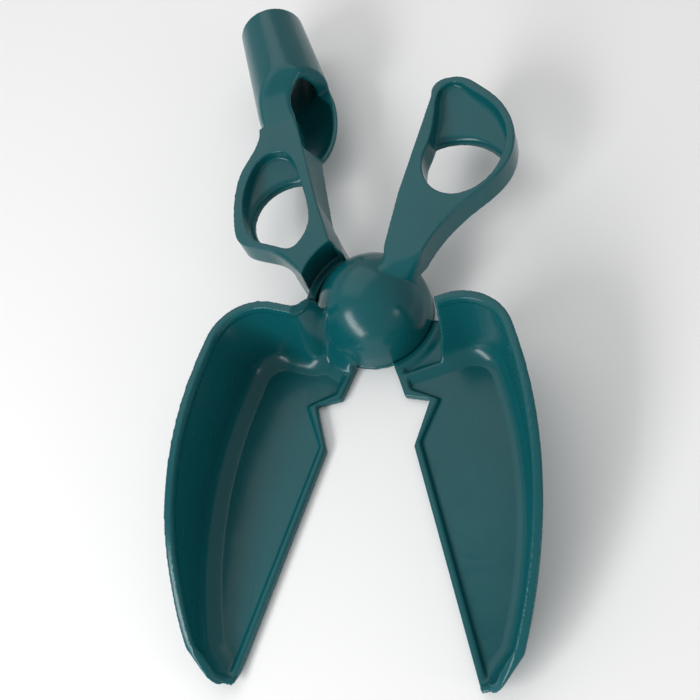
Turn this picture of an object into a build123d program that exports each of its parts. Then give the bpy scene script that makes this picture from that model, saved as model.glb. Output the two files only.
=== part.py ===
from build123d import *
import os
from math import radians, sqrt, tan

os.makedirs("parts", exist_ok=True)

# Leaf grabber hands: two mouldings that cross like scissors at a domed hub.
# Each moulding has a finger-loop handle on one side of the hub and a deep leaf scoop on the other.
# Frame: the pivot is the Z axis, the scoops point along -Y, the handles along +Y, and the scoop
# floors rest on Z = 0. Each half is drawn closed, with its straight scoop edge on X = 0, and is
# then turned by half of the rest opening. All sizes are in millimetres.

# Opening
half_opening = 16.75            # each half is turned this far from closed, in degrees
gap = 0.3                       # space between the straight edges when closed

# Scoop, drawn for the half whose scoop lies at +X
scoop_width = 56.0              # straight edge to the outer wall, at the floor
upper_back = -31.5              # Y of the upper half's back wall, at the floor
lower_back = -36.0              # Y of the lower half's back wall, at the floor
scoop_shoulder = -62.0          # Y where the outer side starts to curve in
scoop_tip = -198.0              # Y of the tip
side_end_y = -187.0             # Y where the outer side meets the blunt tip
side_radius = 238.0             # radius of the outer side in plan
shoulder_radius = 19.0
bend_radius = 10.0              # where the back wall of the upper half bends to the dome
tip_radius = 14.0
corner_y = -78.0                # front corner of the notch beside the straight edge
notch_point = (14.0, -56.5)     # deepest point of the notch
neck_point = (2.3, -50.3)       # where the notch meets the neck
neck_end = (0.5, -20.0)         # inner edge of the neck, under the dome
floor_thick = 2.5
wall = 2.3
draft = 8.0                     # outward lean of the scoop wall, in degrees
floor_radius = 10.0             # inside radius between floor and wall
ridge_width = 3.8               # low ridge along the open edges
ridge_height = 4.4
rim_grow = 1.0                  # the rim band stands out this far on both faces of the wall
rim_band = 4.2                  # height of the rim band
# Height of the rim against Y, from the back wall to the tip
rim_profile = [(0, 46.8), (-80, 46.8), (-115, 43.0), (-143, 37.0), (-171, 26.6), (-190, 17.6), (-200, 10.0)]
wall_bend = 21.0                # X where that wall bends

# Hub
dome_radius = 30.0
dome_centre = 10.5              # height of the dome's centre
dome_wall = 2.6
plate_thick = 3.0               # hub plate of the lower half
skirt_low = 3.4                 # the dome's skirt stops just above the hub plate
collar_inner = 30.5
collar_outer = 35.7
collar_rise = 32.5              # radius of the arm's hollow face at the arm's top
fin_edge = -9.0                 # X where the hollow stops, beside the arm's inner side
collar_top = 20.0               # the lower half's collar round the dome, on the handle side
crescent_outer = 35.0
crescent_top = 5.0              # the lower half's low collar on the scoop side
boss_radius = 9.0
lower_boss_top = 9.0
upper_boss_low = 10.0
washer_thick = 0.9
washer_gap = 0.1
screw_radius = 3.0
bore_radius = 3.05
screw_low = 0.4
screw_top = 30.0
head_radius = 6.0
head_top = 4.0
counterbore_radius = 7.0
counterbore_depth = 5.0

# Handles
handle_bottom = 24.0
handle_top = 39.0
skin = 3.0                      # thickness of the palm rests and the tube's shell

# Pole tube on the lower half
tube_z = 28.0
tube_end = 208.5
tube_x = -14.2                  # axis of the pole socket
tube_radius = 19.3
bore = 16.0
bore_start = 151.0              # the pocket behind the bulb narrows to the socket here
bulb_x = -11.3                  # the tube swells to a bulb where the other loop nests in
bulb_y = 139.0
bulb_radius = 22.8
bulb_length = 44.0              # the bulb's rounded near end
nest_low = 23.0                 # the bulb is open above this height
nest_far = 152.0                # and up to this Y
arm_edge = -11.5                # X of the arm's inner side


def prism(points, low, high):
    """Upright prism over a closed outline of points."""
    return upright(make_face(Polyline(*points, close=True)), low, high)


def upright(face, low, high):
    """A face on the XY plane, stood up between two heights."""
    return Pos(0, 0, low) * extrude(face, high - low)


def sideways(face, low_x, high_x):
    """A face drawn as (Y, Z), run along X between two positions."""
    return Pos(low_x, 0, 0) * extrude(Plane.YZ * face, high_x - low_x)


def scoop_face(grow, back, bend):
    """Plan of the scoop, run on past the straight edge and grown evenly.
    With bend, its back turns to the hub."""
    def bulge(y):
        return side_radius - sqrt(side_radius**2 - (y - scoop_shoulder) ** 2)

    inner = -25.0
    tip_x = 6.0
    mid_y = (scoop_shoulder + side_end_y) / 2
    shoulder = (scoop_width, scoop_shoulder)
    side_end = (scoop_width - bulge(side_end_y), side_end_y)
    side = ThreePointArc(shoulder, (scoop_width - bulge(mid_y), mid_y), side_end)
    front = [side_end, (tip_x, scoop_tip), (inner, scoop_tip)]
    if bend:
        front += [(inner, back + 20), (wall_bend - 11, back + 20), (wall_bend, back), (scoop_width, back)]
    else:
        front += [(inner, back), (scoop_width, back)]
    face = make_face(side + Polyline(*front) + Line((scoop_width, back), shoulder))
    rounds = [((scoop_width, back, 0), shoulder_radius), ((tip_x, scoop_tip, 0), tip_radius)]
    if bend:
        rounds.append(((wall_bend, back, 0), bend_radius))
    for corner, radius in rounds:
        face = fillet(face.vertices().sort_by_distance(corner)[0], radius)
    return offset(face, grow, kind=Kind.INTERSECTION)


def tub(grow, low, radius, back, bend):
    """Solid that fills the scoop out to a wall face, with a rounded foot."""
    high = 50.0
    base = scoop_face(grow + low * tan(radians(draft)), back, bend)
    solid = Pos(0, 0, low) * extrude(base, high - low, taper=-draft)
    return fillet(solid.edges().group_by(Axis.Z)[0], radius)


def under_rim(drop):
    """Everything below the rim line, lowered by drop."""
    points = [(y, z - drop) for y, z in rim_profile]
    back, tip = points[0], points[-1]
    beyond = (tip[0] - 7, tip[1] - 6)
    below = Polyline(tip, beyond, (beyond[0], -5), (back[0], -5), back)
    return sideways(make_face(Spline(*points) + below), -30, 90)


def scoop(back, bend):
    """Leaf scoop at +X: floor, leaning outer wall, rim band, and the low ridge on its open edges."""
    whole = tub(0, 0, floor_radius + wall, back, bend)
    shell = whole - tub(-wall, floor_thick, floor_radius, back, bend)
    band = tub(rim_grow, 0, floor_radius + wall, back, bend)
    band -= tub(-wall - rim_grow, floor_thick, floor_radius, back, bend)
    band &= under_rim(0) - under_rim(rim_band)
    body = (shell & under_rim(0)) + band
    # open edges: straight edge, notch and neck
    x = gap / 2
    w = ridge_width
    far = [(80.0, 0.0), (80.0, scoop_tip - 5)]
    edge = [(x, scoop_tip - 5), (x, corner_y), notch_point, neck_point, neck_end, (0.5, 0.0)] + far
    inside = [(w, scoop_tip - 5), (w, corner_y + 1), (notch_point[0] + 4.6, notch_point[1] - 1.5),
              (neck_point[0] + 4.0, neck_point[1] + 2.6), (neck_end[0] + w, 0.0)] + far
    neck = [neck_end, neck_point, (16, -55), (40, -50), (38, -36), (33, -31), (27, -12)]
    ridge = prism(edge, 0, ridge_height) - prism(inside, 0, ridge_height)
    ridge &= whole + prism(neck, 0, ridge_height)
    body = (body & prism(edge, 0, 50)) + ridge + prism(neck, 0, floor_thick)
    # beside the dome the back wall either falls away or stops at a slant
    if bend:
        end_line = [(25, 60), (25, 47), (20, 44), (15.5, 31), (9, 22), (-5, 18), (-5, 60)]
    else:
        end_line = [(33, 60), (33, 46), (30, 23), (25.5, 6), (24, 4.4), (-5, 4.4), (-5, 60)]
    wall_cut = Plane.XZ * make_face(Polyline(*end_line, close=True))
    body -= extrude(wall_cut, 46)
    # the wall sinks to the ridge as it comes round the tip
    tip_line = [(-2, 4.4), (4, 6.5), (10, 12.0), (18, 17.5), (24, 26.0), (30, 60.0), (-2, 60.0)]
    tip_cut = Plane.XZ * make_face(Polyline(*tip_line, close=True))
    return body - Pos(0, -150, 0) * extrude(tip_cut, 60)


def ring(section, start, end):
    """Part of a turned ring between two angles, in degrees from +X, from its outline in (radius, Z)."""
    face = make_face(Polyline(*[(r, 0, z) for r, z in section], close=True))
    return Rot(0, 0, start) * revolve(face, Axis.Z, end - start)


def palm_rest(centre, radius, reach, opening):
    """Dished web that closes the far part of a finger loop, and rolls over into a round upright opening."""
    low, top = handle_bottom, handle_top + 0.6
    half_way = radius + 0.45 * (reach - radius)
    steep = radius + 0.77 * (reach - radius)
    roll = Spline((radius, 0, low + 3), (radius + 1.5, 0, low + 5.3), (radius + 5, 0, low + 6.4),
                  (half_way, 0, low + 8.2), (steep, 0, low + 11.5), (reach, 0, top))
    under = Polyline((reach, 0, top), (reach, 0, top - skin), (steep, 0, low + 8), (half_way, 0, low + 5),
                     (radius + 5, 0, low + 3.3), (radius + skin, 0, low), (radius, 0, low),
                     (radius, 0, low + 3))
    web = Pos(centre[0], centre[1], 0) * revolve(make_face(roll + under), Axis.Z, 360)
    return web & upright(offset(opening, 0.4), low, handle_top - 0.2)


def upper_handle():
    """Large loop: straight inner side, D-shaped loop, palm rest, and a round shoulder at the dome."""
    side = [(25.4, 19.0), (27.5, 31.5), (31.5, 43.0), (39.5, 58.0), (48.5, 72.0), (52.6, 86.0),
            (51.0, 99.0), (45.4, 110.5), (35.0, 121.8), (23.0, 129.5), (9.0, 134.4), (-0.5, 131.0),
            (-2.4, 119.0)]
    hub_end = Polyline((-2.4, 119.0), (1.0, 55.0), (5.0, 21.0), (9.0, 4.0), (23.0, 11.3), (25.4, 19.0))
    hole_points = [(6.3, 84.0), (9.0, 71.0), (18.5, 60.8), (29.0, 58.8), (39.0, 63.8), (45.8, 74.0),
                   (47.9, 86.0), (46.3, 99.0), (41.0, 109.5), (31.0, 119.2), (18.0, 126.2), (7.0, 130.0),
                   (2.6, 126.5), (2.6, 112.0)]
    hole = make_face(Spline(*hole_points, periodic=True))
    arm = upright(make_face(Spline(*side) + hub_end), handle_bottom, handle_top)
    # the arm ends on the dome in a wide round shoulder
    shoulder = Pos(0, 100, handle_top - 20) * Box(240, 200, 40)
    shoulder = fillet(shoulder.edges().group_by(Axis.Z)[-1].sort_by(Axis.Y)[0], 8.0)
    arm = arm & (Pos(9.0, 4.0, 0) * Rot(0, 0, 27.5) * shoulder)
    arm -= upright(hole, handle_bottom, handle_top)
    return arm + palm_rest((24.0, 70.0), 30.0, 70.0, hole)


def lower_hole():
    """Outline of the opening in the smaller loop."""
    points = [(-17.0, 72.0), (-17.0, 56.0), (-20.8, 43.5), (-30.0, 36.2), (-40.0, 41.5), (-48.6, 48.8),
              (-52.0, 60.0), (-51.2, 76.0), (-43.8, 94.0), (-33.0, 103.2), (-23.0, 101.0), (-18.0, 88.0)]
    return make_face(Spline(*points, periodic=True))


def lower_handle():
    """Smaller loop beside the pole tube. Near the pivot its arm stands on the hub plate."""
    side = [(-28.0, 16.0), (-32.6, 25.0), (-41.0, 37.3), (-51.0, 44.7), (-57.6, 51.5), (-58.6, 63.0),
            (-55.9, 80.0), (-48.0, 99.0), (-38.5, 110.8), (-33.8, 125.0)]
    inner = Polyline((-33.8, 125.0), (arm_edge, 125.0), (arm_edge, 60.0), (-9.9, 31.0), (-9.0, 24.0),
                     (-20.0, 12.0), (-28.0, 16.0))
    blank = make_face(Spline(*side) + inner)
    hole = lower_hole()
    arm = upright(blank, handle_bottom, handle_top) + (upright(blank, 0, handle_top) & Cylinder(46, 200))
    # the inner side leans out towards its foot
    foot = [(-20, 100), (-5, 100), (-8.2, 50), (-6, 27), (-20, 27)]
    crown = [(-20, 100), (arm_edge, 100), (arm_edge, 60), (-9.9, 29), (-20, 29)]
    arm += loft([Pos(0, 0, z) * make_face(Polyline(*line, close=True))
                 for z, line in ((handle_bottom, foot), (handle_top, crown))])
    column = [(-14, 24), (-6, 24), (-7.6, 46), (-14, 46)]
    arm += prism(column, 0, handle_bottom) & Cylinder(46, 200)
    arm -= upright(hole, 0, handle_top)
    return arm + palm_rest((-28.0, 64.0), 22.5, 50.0, hole)


def tube_ring(x, y, radius):
    """Round cross section of the tube."""
    return Pos(x, y, tube_z) * Rot(90, 0, 0) * Circle(radius)


def bulb(radius, length, far):
    """Bulb with a rounded near end, which narrows to a far cross section."""
    near = Pos(bulb_x, bulb_y, tube_z) * scale(Sphere(radius), by=(1, length / radius, 1))
    near &= Pos(bulb_x, bulb_y - 50, tube_z) * Box(100, 100, 100)
    return near + loft([tube_ring(bulb_x, bulb_y, radius), far])


def pole_tube():
    """Pole socket that swells to a bulb, cut open where the other loop nests in as the halves close."""
    tube = bulb(bulb_radius, bulb_length, tube_ring(tube_x, tube_end, tube_radius))
    hollow = bulb(bulb_radius - skin, bulb_length - skin, tube_ring(tube_x, bore_start, bore))
    tube -= extrude(tube_ring(tube_x, tube_end, bore), tube_end - bore_start)
    # a long slope on top leads from the arm up to the tube's crown
    top = handle_top
    slope = [(60, 60), (60, top), (124, top), (140, top + 4), (154, top + 12), (154, 60)]
    tube -= sideways(make_face(Polyline(*slope, close=True)), -60, 60)
    roof = [(60, 60)] + [(y + 2, z - skin) for y, z in slope[1:-1]] + [(156, 60)]
    tube -= hollow - sideways(make_face(Polyline(*roof, close=True)), -60, 60)
    nest = Spline((arm_edge, 130), (-8, 141), (3, 149), (14, nest_far))
    nest += Polyline((14, nest_far), (40, nest_far), (40, 60), (arm_edge, 60), (arm_edge, 130))
    tube -= upright(make_face(nest), nest_low, 60)
    return tube - upright(lower_hole(), 0, handle_top)


def dome(radius, low):
    """Ball cap on a short skirt."""
    cap = Pos(0, 0, dome_centre) * Sphere(radius) & (Pos(0, 0, dome_centre + 50) * Box(200, 200, 100))
    return cap + Pos(0, 0, (low + dome_centre) / 2) * Cylinder(radius, dome_centre - low)


def upper_half():
    """Dome, large-loop handle, and the scoop at -X."""
    blade = mirror(scoop(upper_back, True), Plane.YZ)
    blade -= Cylinder(dome_radius + 0.4, 2 * skirt_low)
    # the neck swells up to the dome's skirt
    swell = [(29, skirt_low), (29, 14), (30, 14), (31.5, 9), (35, 5), (41, floor_thick), (41, 0),
             (dome_radius + 0.4, 0), (dome_radius + 0.4, skirt_low)]
    blade += ring(swell, 234, 267)
    body = dome(dome_radius, skirt_low) + upper_handle() + blade
    body -= dome(dome_radius - dome_wall, skirt_low - 1)
    boss = Pos(0, 0, upper_boss_low + 15) * Cylinder(boss_radius, 30)
    body += boss & dome(dome_radius - 0.5, skirt_low)
    return body - Pos(0, 0, screw_top / 2) * Cylinder(screw_radius, screw_top)


def lower_half():
    """Hub plate, small-loop handle with the pole tube, and the scoop at +X."""
    body = Pos(0, 0, plate_thick / 2) * Cylinder(dome_radius, plate_thick)
    body += lower_handle() + pole_tube() + scoop(lower_back, False)
    collar = [(dome_radius - 1, 0), (collar_outer, 0), (collar_outer, collar_top),
              (dome_radius - 1, collar_top)]
    body += ring(collar, 103, 156)
    crescent = [(dome_radius - 1, 0), (crescent_outer + 2, 0), (crescent_outer + 2, floor_thick),
                (crescent_outer, crescent_top), (dome_radius - 1, crescent_top)]
    body += ring(crescent, -88, -27)
    # room for the dome, and for the other arm above the collar
    body -= Pos(0, 0, plate_thick + 40) * Cylinder(collar_inner, 80)
    rise = handle_top - collar_top
    hollow = Pos(0, 0, collar_top + rise / 2) * Cone(collar_outer, collar_rise, rise)
    hollow += Pos(0, 0, handle_top + 10) * Cylinder(collar_rise, 20)
    # a fin of the arm's inner side stays beside the hollow
    body -= hollow & Pos(fin_edge - 50, 0, 50) * Box(100, 100, 100)
    body += Pos(0, 0, lower_boss_top / 2) * Cylinder(boss_radius, lower_boss_top)
    body -= Cylinder(bore_radius, 60)
    return body - Cylinder(counterbore_radius, 2 * counterbore_depth)


def washer(outer, low):
    """Flat washer round the screw."""
    ring_shape = Cylinder(outer, washer_thick) - Cylinder(screw_radius + 0.2, 2)
    return Pos(0, 0, low + washer_thick / 2) * ring_shape


def pivot_screw():
    """Slotted screw that hangs the dome's boss on the hub plate."""
    head = Pos(0, 0, (screw_low + head_top) / 2) * Cylinder(head_radius, head_top - screw_low)
    shank = Pos(0, 0, (screw_low + screw_top) / 2) * Cylinder(screw_radius, screw_top - screw_low)
    return head + shank - Pos(0, 0, screw_low) * Box(8.0, 1.4, 2.4)


parts = {
    "upper_half": Rot(0, 0, -half_opening) * upper_half(),
    "lower_half": Rot(0, 0, half_opening) * lower_half(),
    "pivot_screw": pivot_screw(),
    "head_washer": washer(head_radius, head_top + washer_gap / 2),
    "thrust_washer": washer(boss_radius, lower_boss_top + washer_gap / 2),
}
for name, shape in parts.items():
    export_step(shape, f"parts/{name}.step")
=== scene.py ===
import math
import bmesh
import bpy
import numpy as np
from mathutils import Matrix, Quaternion, Vector


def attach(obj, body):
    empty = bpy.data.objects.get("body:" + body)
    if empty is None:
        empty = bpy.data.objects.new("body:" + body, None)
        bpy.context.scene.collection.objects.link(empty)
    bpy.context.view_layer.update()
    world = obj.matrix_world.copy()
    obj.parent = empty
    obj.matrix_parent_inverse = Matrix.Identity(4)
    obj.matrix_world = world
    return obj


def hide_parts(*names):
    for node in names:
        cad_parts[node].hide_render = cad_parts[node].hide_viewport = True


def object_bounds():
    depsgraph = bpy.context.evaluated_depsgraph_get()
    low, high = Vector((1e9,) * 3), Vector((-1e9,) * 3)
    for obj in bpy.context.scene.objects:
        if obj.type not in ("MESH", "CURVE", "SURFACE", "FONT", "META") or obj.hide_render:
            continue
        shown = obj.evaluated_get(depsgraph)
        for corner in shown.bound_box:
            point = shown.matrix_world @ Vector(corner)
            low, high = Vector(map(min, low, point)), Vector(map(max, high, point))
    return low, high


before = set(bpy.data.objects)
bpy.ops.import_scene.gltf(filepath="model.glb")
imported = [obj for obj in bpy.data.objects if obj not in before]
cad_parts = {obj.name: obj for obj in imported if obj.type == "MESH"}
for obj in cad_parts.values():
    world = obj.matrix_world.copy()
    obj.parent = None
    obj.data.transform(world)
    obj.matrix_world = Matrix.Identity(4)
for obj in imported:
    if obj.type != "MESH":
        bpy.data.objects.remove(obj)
cad_low, cad_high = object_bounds()

# Leaf grabber hands. The pivot is the Z axis, the scoops point along -Y and the handles along +Y.
# The two mouldings are remeshed from their CAD solids, so that every edge and inner corner is
# rounded as moulded plastic is, and then pulled back to their exact round and flat faces.

MM = 0.001
HALF_OPENING = math.radians(16.75)

# Remeshing
VOXEL = 0.65 * MM
MAX_TRIANGLES = 194000
EVEN_ROUNDS = 24
FILLET_ROUNDS = 160
POLISH_ROUNDS = 3

# Shapes of the mouldings. Places are given in the closed half's own frame.
DOME_RADIUS = 30.0 * MM
DOME_CENTRE = 10.5 * MM
SCOOP_FLOOR = 2.5 * MM
HANDLE_TOP = 39.0 * MM
UPPER_SHOULDER = (17 * MM, 10 * MM)
UPPER_REST = (24 * MM, 70 * MM)
LOWER_SHOULDER = (-36 * MM, 27 * MM)
TUBE_SLOPE = 138 * MM


def coords(mesh):
    """Vertex places as an array."""
    co = np.empty(len(mesh.vertices) * 3)
    mesh.vertices.foreach_get("co", co)
    return co.reshape(-1, 3)


def set_coords(mesh, co):
    """Moves the vertices to new places."""
    mesh.vertices.foreach_set("co", co.ravel())
    mesh.update()


def normals(mesh):
    """Vertex normals as an array."""
    out = np.empty(len(mesh.vertices) * 3)
    mesh.vertices.foreach_get("normal", out)
    return out.reshape(-1, 3)


def applied(obj):
    """Bakes the modifiers of obj into its mesh."""
    bpy.context.view_layer.update()
    graph = bpy.context.evaluated_depsgraph_get()
    mesh = bpy.data.meshes.new_from_object(obj.evaluated_get(graph))
    old = obj.data
    obj.modifiers.clear()
    obj.data = mesh
    bpy.data.meshes.remove(old)


def edge_pairs(mesh):
    """The two vertex numbers of every edge."""
    edges = np.empty(len(mesh.edges) * 2, int)
    mesh.edges.foreach_get("vertices", edges)
    return edges.reshape(-1, 2)


def neighbours_mean(co, edges):
    """Mean place of each vertex's neighbours."""
    total = np.empty_like(co)
    for axis in range(3):
        total[:, axis] = np.bincount(edges[:, 0], co[edges[:, 1], axis], len(co))
        total[:, axis] += np.bincount(edges[:, 1], co[edges[:, 0], axis], len(co))
    count = np.bincount(edges.ravel(), minlength=len(co))
    return total / np.maximum(count, 1)[:, None]


def smooth(mesh, rounds):
    """Smooths without shrinking: a step inwards, then a slightly larger step outwards."""
    edges = edge_pairs(mesh)
    co = coords(mesh)
    for _ in range(rounds):
        co = co + 0.5 * (neighbours_mean(co, edges) - co)
        co = co - 0.52 * (neighbours_mean(co, edges) - co)
    set_coords(mesh, co)


def relax(mesh, rounds, weight):
    """Plain smoothing where there is weight, which rounds inner corners into soft fillets."""
    edges = edge_pairs(mesh)
    used = (weight[edges] > 0).any(1)
    kept = np.unique(edges[used])
    if len(kept) == 0:
        return
    number = np.full(len(weight), -1)
    number[kept] = np.arange(len(kept))
    pairs = number[edges[used]]
    co = coords(mesh)
    part = co[kept]
    step = 0.5 * weight[kept][:, None]
    for _ in range(rounds):
        part = part + step * (neighbours_mean(part, pairs) - part)
    co[kept] = part
    set_coords(mesh, co)


def local(co, side):
    """Places in the closed half's own frame; side is -1 for the upper half and 1 for the lower."""
    turn = -side * HALF_OPENING
    x = co[:, 0] * math.cos(turn) - co[:, 1] * math.sin(turn)
    y = co[:, 0] * math.sin(turn) + co[:, 1] * math.cos(turn)
    return np.stack([x, y, co[:, 2]], 1)


def near(value, target, width):
    """1 at the target, falling smoothly to 0 at width away."""
    t = np.clip(1 - np.abs(value - target) / width, 0, 1)
    return t * t * (3 - 2 * t)


def upper_soft_spots(x, y, z):
    """Where the arm and the scoop's back wall run into the dome, and the dish of the palm rest."""
    ball = np.sqrt(x**2 + y**2 + (z - DOME_CENTRE) ** 2)
    above = (ball > DOME_RADIUS + 0.05 * MM) & (z > 5 * MM)
    join = np.where(above, near(ball, DOME_RADIUS, 7 * MM), 0)
    shoulder = near(np.hypot(x - UPPER_SHOULDER[0], y - UPPER_SHOULDER[1]), 0, 16 * MM) * above
    rest = np.hypot(x - UPPER_REST[0], y - UPPER_REST[1])
    web = (rest > 34 * MM) & (z < 37 * MM) & (z > 28 * MM) & (y > 60 * MM)
    dish = near(rest, 47 * MM, 14 * MM) * web
    return np.maximum(np.maximum(join, shoulder), 0.6 * dish)


def lower_soft_spots(x, y, z):
    """Where the tube's top slopes down to the arm, and the arm's outer edge beside the hub."""
    slope = 0.35 * near(y, TUBE_SLOPE, 26 * MM) * np.clip((z - 37 * MM) / (2 * MM), 0, 1)
    edge = 0.5 * near(np.hypot(x - LOWER_SHOULDER[0], y - LOWER_SHOULDER[1]), 0, 15 * MM) * (z > 22 * MM)
    return np.maximum(slope, edge)


def soft_spots(place, side):
    """Where the moulding has large soft fillets, from 0 to 1."""
    x, y, z = place.T
    if side < 0:
        return upper_soft_spots(x, y, z)
    return lower_soft_spots(x, y, z)


def snap(co, normal, side):
    """Pulls the surface gently onto its true faces: the dome, and the level faces."""
    if side < 0:
        centre = np.array([0, 0, DOME_CENTRE])
        offset = co - centre
        reach = np.linalg.norm(offset, axis=1)
        facing = (offset * normal).sum(1) / np.maximum(reach, 1e-9)
        on_dome = np.clip((facing - 0.96) / 0.03, 0, 1) * (co[:, 2] > DOME_CENTRE)
        pull = near(reach, DOME_RADIUS, 0.4 * MM) * on_dome
        co = co + (pull * (DOME_RADIUS / np.maximum(reach, 1e-9) - 1))[:, None] * offset
    for level in (0.0, SCOOP_FLOOR, HANDLE_TOP):
        pull = near(co[:, 2], level, 0.35 * MM) * np.clip((np.abs(normal[:, 2]) - 0.96) / 0.03, 0, 1)
        co[:, 2] += pull * (level - co[:, 2])
    return co


def thin_out(obj):
    """Fewer faces, shaded with the normals of the dense mesh."""
    triangles = 2 * len(obj.data.polygons)
    if triangles <= MAX_TRIANGLES:
        return
    dense = obj.copy()
    dense.data = obj.data.copy()
    bpy.context.scene.collection.objects.link(dense)
    thin = obj.modifiers.new("thin", "DECIMATE")
    thin.ratio = MAX_TRIANGLES / triangles
    shading = obj.modifiers.new("shading", "DATA_TRANSFER")
    shading.object = dense
    shading.use_loop_data = True
    shading.data_types_loops = {"CUSTOM_NORMAL"}
    shading.loop_mapping = "POLYINTERP_NEAREST"
    applied(obj)
    bpy.data.objects.remove(dense)


def moulding(node, name, body, side):
    """Soft-edged copy of a CAD half, which replaces it and rides on the same body."""
    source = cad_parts[node]
    obj = bpy.data.objects.new(name, source.data.copy())
    bpy.context.scene.collection.objects.link(obj)
    obj.data.materials.clear()
    remesh = obj.modifiers.new("remesh", "REMESH")
    remesh.mode = "VOXEL"
    remesh.voxel_size = VOXEL
    applied(obj)
    mesh = obj.data
    smooth(mesh, EVEN_ROUNDS)
    relax(mesh, FILLET_ROUNDS, soft_spots(local(coords(mesh), side), side))
    relax(mesh, POLISH_ROUNDS, np.ones(len(mesh.vertices)))
    set_coords(mesh, snap(coords(mesh), normals(mesh), side))
    mesh.polygons.foreach_set("use_smooth", np.ones(len(mesh.polygons), bool))
    thin_out(obj)
    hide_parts(node)
    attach(obj, body)
    return obj


# ---------------------------------------------------------------- materials

def new_material(name):
    """Empty material, with its node tree and its shader."""
    mat = bpy.data.materials.new(name)
    mat.use_nodes = True
    tree = mat.node_tree
    return mat, tree, tree.nodes["Principled BSDF"]


def add(tree, kind, **values):
    """Adds a node and sets its properties, or its inputs by name."""
    node = tree.nodes.new(kind)
    for key, value in values.items():
        if hasattr(node, key):
            setattr(node, key, value)
        else:
            node.inputs[key.replace("_", " ").title()].default_value = value
    return node


def ramp(tree, source, stops):
    """Colour ramp over a value, from (position, colour) stops."""
    node = add(tree, "ShaderNodeValToRGB")
    elements = node.color_ramp.elements
    elements[0].position, elements[0].color = stops[0]
    elements[1].position, elements[1].color = stops[-1]
    for place, colour in stops[1:-1]:
        elements.new(place).color = colour
    tree.links.new(source, node.inputs["Fac"])
    return node.outputs["Color"]


def plastic():
    """Glossy dark teal moulded plastic with faint flow clouds, sink waves and hair scratches."""
    mat, tree, shader = new_material("teal_plastic")
    link = tree.links.new
    place = add(tree, "ShaderNodeTexCoord").outputs["Object"]
    clouds = add(tree, "ShaderNodeTexNoise", scale=22.0, detail=4.0, roughness=0.55)
    link(place, clouds.inputs["Vector"])
    colour = ramp(tree, clouds.outputs["Fac"], [
        (0.25, (0.0022, 0.076, 0.088, 1)), (0.5, (0.0028, 0.083, 0.095, 1)), (0.75, (0.0036, 0.090, 0.102, 1))])
    link(colour, shader.inputs["Base Color"])
    # fine pigment grain and dust in the gloss
    grain = add(tree, "ShaderNodeTexNoise", scale=900.0, detail=3.0)
    link(place, grain.inputs["Vector"])
    gloss = ramp(tree, grain.outputs["Fac"], [(0.3, (0.17, 0.17, 0.17, 1)), (0.7, (0.25, 0.25, 0.25, 1))])
    # long hair scratches: noise stretched along the object
    stretch = add(tree, "ShaderNodeMapping")
    stretch.inputs["Scale"].default_value = (900, 25, 300)
    stretch.inputs["Rotation"].default_value = (0, 0, 0.5)
    link(place, stretch.inputs["Vector"])
    hair = add(tree, "ShaderNodeTexNoise", scale=1.0, detail=2.0)
    link(stretch.outputs["Vector"], hair.inputs["Vector"])
    scratch = ramp(tree, hair.outputs["Fac"], [(0.66, (0, 0, 0, 1)), (0.72, (0.12, 0.12, 0.12, 1))])
    rough = add(tree, "ShaderNodeMixRGB", blend_type="ADD")
    rough.inputs["Fac"].default_value = 1.0
    link(gloss, rough.inputs["Color1"])
    link(scratch, rough.inputs["Color2"])
    link(rough.outputs["Color"], shader.inputs["Roughness"])
    # sink waves: the slow ripple that moulded walls show in their reflections
    waves = add(tree, "ShaderNodeTexNoise", scale=55.0, detail=1.0)
    link(place, waves.inputs["Vector"])
    ripple = add(tree, "ShaderNodeBump")
    ripple.inputs["Strength"].default_value = 0.35
    ripple.inputs["Distance"].default_value = 0.0006
    link(waves.outputs["Fac"], ripple.inputs["Height"])
    fine = add(tree, "ShaderNodeBump")
    fine.inputs["Strength"].default_value = 0.10
    fine.inputs["Distance"].default_value = 0.00004
    link(grain.outputs["Fac"], fine.inputs["Height"])
    link(ripple.outputs["Normal"], fine.inputs["Normal"])
    link(fine.outputs["Normal"], shader.inputs["Normal"])
    shader.inputs["IOR"].default_value = 1.46
    shader.inputs["Specular IOR Level"].default_value = 0.36
    return mat


def steel(name, colour, scale):
    """Zinc-plated steel with a turned or rolled grain."""
    mat, tree, shader = new_material(name)
    link = tree.links.new
    place = add(tree, "ShaderNodeTexCoord").outputs["Object"]
    grain = add(tree, "ShaderNodeTexNoise", scale=scale, detail=5.0)
    link(place, grain.inputs["Vector"])
    darker = tuple(0.7 * c for c in colour) + (1,)
    tint = ramp(tree, grain.outputs["Fac"], [(0.3, darker), (0.7, colour + (1,))])
    link(tint, shader.inputs["Base Color"])
    rough = ramp(tree, grain.outputs["Fac"], [(0.3, (0.25, 0.25, 0.25, 1)), (0.7, (0.42, 0.42, 0.42, 1))])
    link(rough, shader.inputs["Roughness"])
    shader.inputs["Metallic"].default_value = 1.0
    return mat


def nylon():
    """Milky nylon washer."""
    mat, tree, shader = new_material("washer_nylon")
    link = tree.links.new
    place = add(tree, "ShaderNodeTexCoord").outputs["Object"]
    mottle = add(tree, "ShaderNodeTexNoise", scale=350.0, detail=3.0)
    link(place, mottle.inputs["Vector"])
    tint = ramp(tree, mottle.outputs["Fac"], [(0.3, (0.62, 0.60, 0.54, 1)), (0.7, (0.74, 0.72, 0.66, 1))])
    link(tint, shader.inputs["Base Color"])
    shader.inputs["Roughness"].default_value = 0.45
    return mat


def paper():
    """Plain pale floor."""
    mat, _, shader = new_material("paper")
    shader.inputs["Base Color"].default_value = (0.9, 0.9, 0.9, 1)
    shader.inputs["Roughness"].default_value = 0.9
    return mat


teal = plastic()
upper = moulding("upper_half", "upper_moulding", "upper", -1)
lower = moulding("lower_half", "lower_moulding", "lower", 1)
for half in (upper, lower):
    half.data.materials.append(teal)

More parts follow.
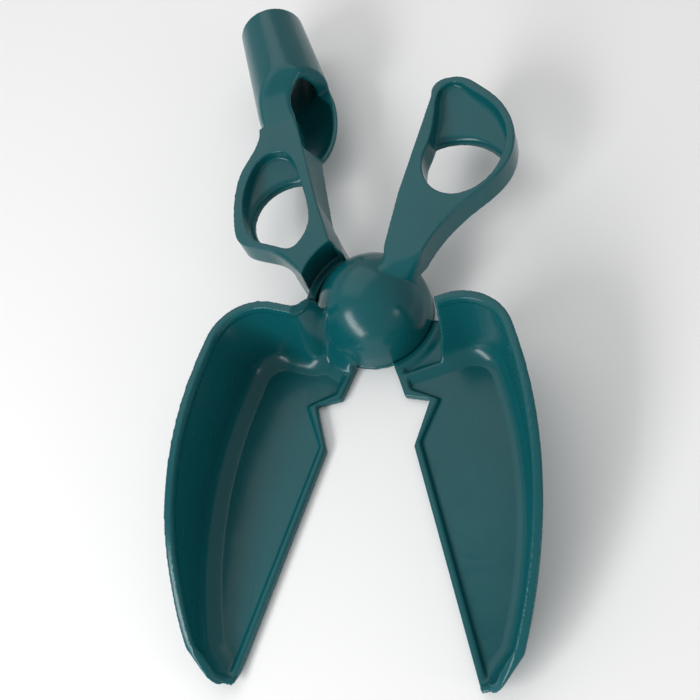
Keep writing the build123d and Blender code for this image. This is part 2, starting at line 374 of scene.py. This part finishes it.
finishes = {
    "pivot_screw": (steel("screw_zinc", (0.62, 0.61, 0.58), 700.0), "screw_steel"),
    "head_washer": (steel("washer_zinc", (0.55, 0.55, 0.53), 400.0), "washer_steel"),
    "thrust_washer": (nylon(), "washer_plastic"),
}
for node, (finish, slot_name) in finishes.items():
    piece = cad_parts[node]
    piece.data.materials.clear()
    piece.data.materials.append(finish)

# ---------------------------------------------------------------- stage, light and camera

FLOOR_SIZE = 6.0
FLOOR_GAP = 0.5 * MM
LIGHT_DISTANCE = 1.1
LIGHT_TARGET = Vector((0, 0, 0.02))

floor_mesh = bpy.data.meshes.new("floor")
shape = bmesh.new()
bmesh.ops.create_grid(shape, x_segments=1, y_segments=1, size=FLOOR_SIZE / 2)
shape.to_mesh(floor_mesh)
shape.free()
floor = bpy.data.objects.new("floor", floor_mesh)
floor.location.z = cad_low.z - FLOOR_GAP
bpy.context.scene.collection.objects.link(floor)
floor.data.materials.append(paper())

world = bpy.data.worlds.new("studio")
bpy.context.scene.world = world
world.use_nodes = True
world.node_tree.nodes["Background"].inputs["Color"].default_value = (1.0, 1.0, 1.0, 1)
world.node_tree.nodes["Background"].inputs["Strength"].default_value = 0.50


def softbox(name, azimuth, elevation, roll, size, power):
    """Area light at a set distance from the object, facing its middle. Angles are in degrees."""
    data = bpy.data.lights.new(name, "AREA")
    data.shape = "RECTANGLE"
    data.size, data.size_y = size
    data.energy = power
    obj = bpy.data.objects.new(name, data)
    turn, rise = math.radians(azimuth), math.radians(elevation)
    aim = Vector((math.cos(rise) * math.cos(turn), math.cos(rise) * math.sin(turn), math.sin(rise)))
    obj.location = LIGHT_DISTANCE * aim
    obj.rotation_mode = "QUATERNION"
    facing = (LIGHT_TARGET - obj.location).to_track_quat("-Z", "Y")
    obj.rotation_quaternion = facing @ Quaternion((0, 0, 1), math.radians(roll))
    bpy.context.scene.collection.objects.link(obj)


softbox("key", 236, 28, -40, (1.00, 0.28), 9.5)
softbox("side", 335, 14, 0, (0.20, 0.60), 1.2)
softbox("rear", 122, 54, 30, (1.20, 0.90), 2.8)

camera_data = bpy.data.cameras.new("camera")
camera_data.sensor_width = 36.0
camera_data.lens = 49.37
camera = bpy.data.objects.new("camera", camera_data)
right = Vector((0.955, 0.073, -0.289)).normalized()
back = Vector((0.289, -0.460, 0.840)).normalized()
up = back.cross(right).normalized()
right = up.cross(back)
turn = Matrix((right, up, back)).transposed()
camera.matrix_world = Matrix.Translation((0.1310, -0.2502, 0.4258)) @ turn.to_4x4()
bpy.context.scene.collection.objects.link(camera)
bpy.context.scene.camera = camera
bpy.context.scene.view_settings.view_transform = "Standard"
